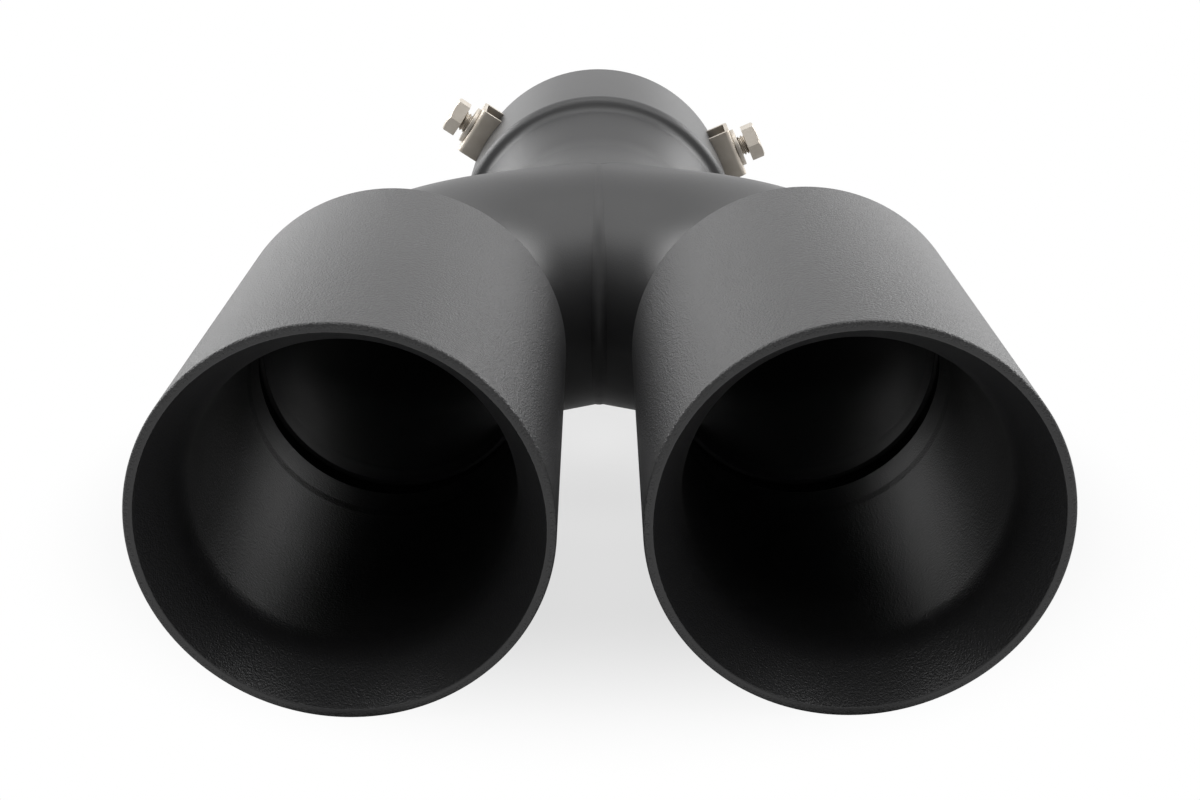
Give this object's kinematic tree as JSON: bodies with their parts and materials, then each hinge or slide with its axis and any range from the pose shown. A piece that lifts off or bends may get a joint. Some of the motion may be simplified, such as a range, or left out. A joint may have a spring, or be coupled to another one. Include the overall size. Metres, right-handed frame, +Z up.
{
  "type": "twin exhaust tip",
  "caption": "Twin round exhaust tip with double-walled mouths on a welded Y pipe, with a slip-on inlet sleeve held by set-bolt clamps.",
  "frame": {"origin": "centre of the inlet sleeve's open end, on the sleeve's axis", "axes": "+Y out of the inlet along the tail pipe, so the mouths face -Y; +Z up; -X is the left tip as seen when looking into the mouths"},
  "size_m": [0.2232, 0.326, 0.123],
  "materials": {
    "black_coat": "matte black powder coat with a fine grain",
    "stainless": "bare stainless steel, satin"
  },
  "bodies": {
    "root": {"left_tip_shell": "black_coat", "right_tip_shell": "black_coat", "left_inner_liner": "black_coat", "right_inner_liner": "black_coat", "left_rear_cap": "black_coat", "right_rear_cap": "black_coat", "left_leg": "black_coat", "right_leg": "black_coat", "left_tip_weld": "black_coat", "right_tip_weld": "black_coat", "inlet_pipe": "black_coat", "front_seam_weld": "black_coat", "left_seam_weld": "black_coat", "right_seam_weld": "black_coat", "upper_left_bracket": "stainless", "upper_right_bracket": "stainless", "lower_bracket": "stainless", "upper_left_nut": "stainless", "upper_right_nut": "stainless", "lower_nut": "stainless", "upper_left_washer": "stainless", "upper_right_washer": "stainless", "lower_washer": "stainless", "upper_left_set_bolt": "stainless", "upper_right_set_bolt": "stainless", "lower_set_bolt": "stainless"}
  },
  "joints": []
}
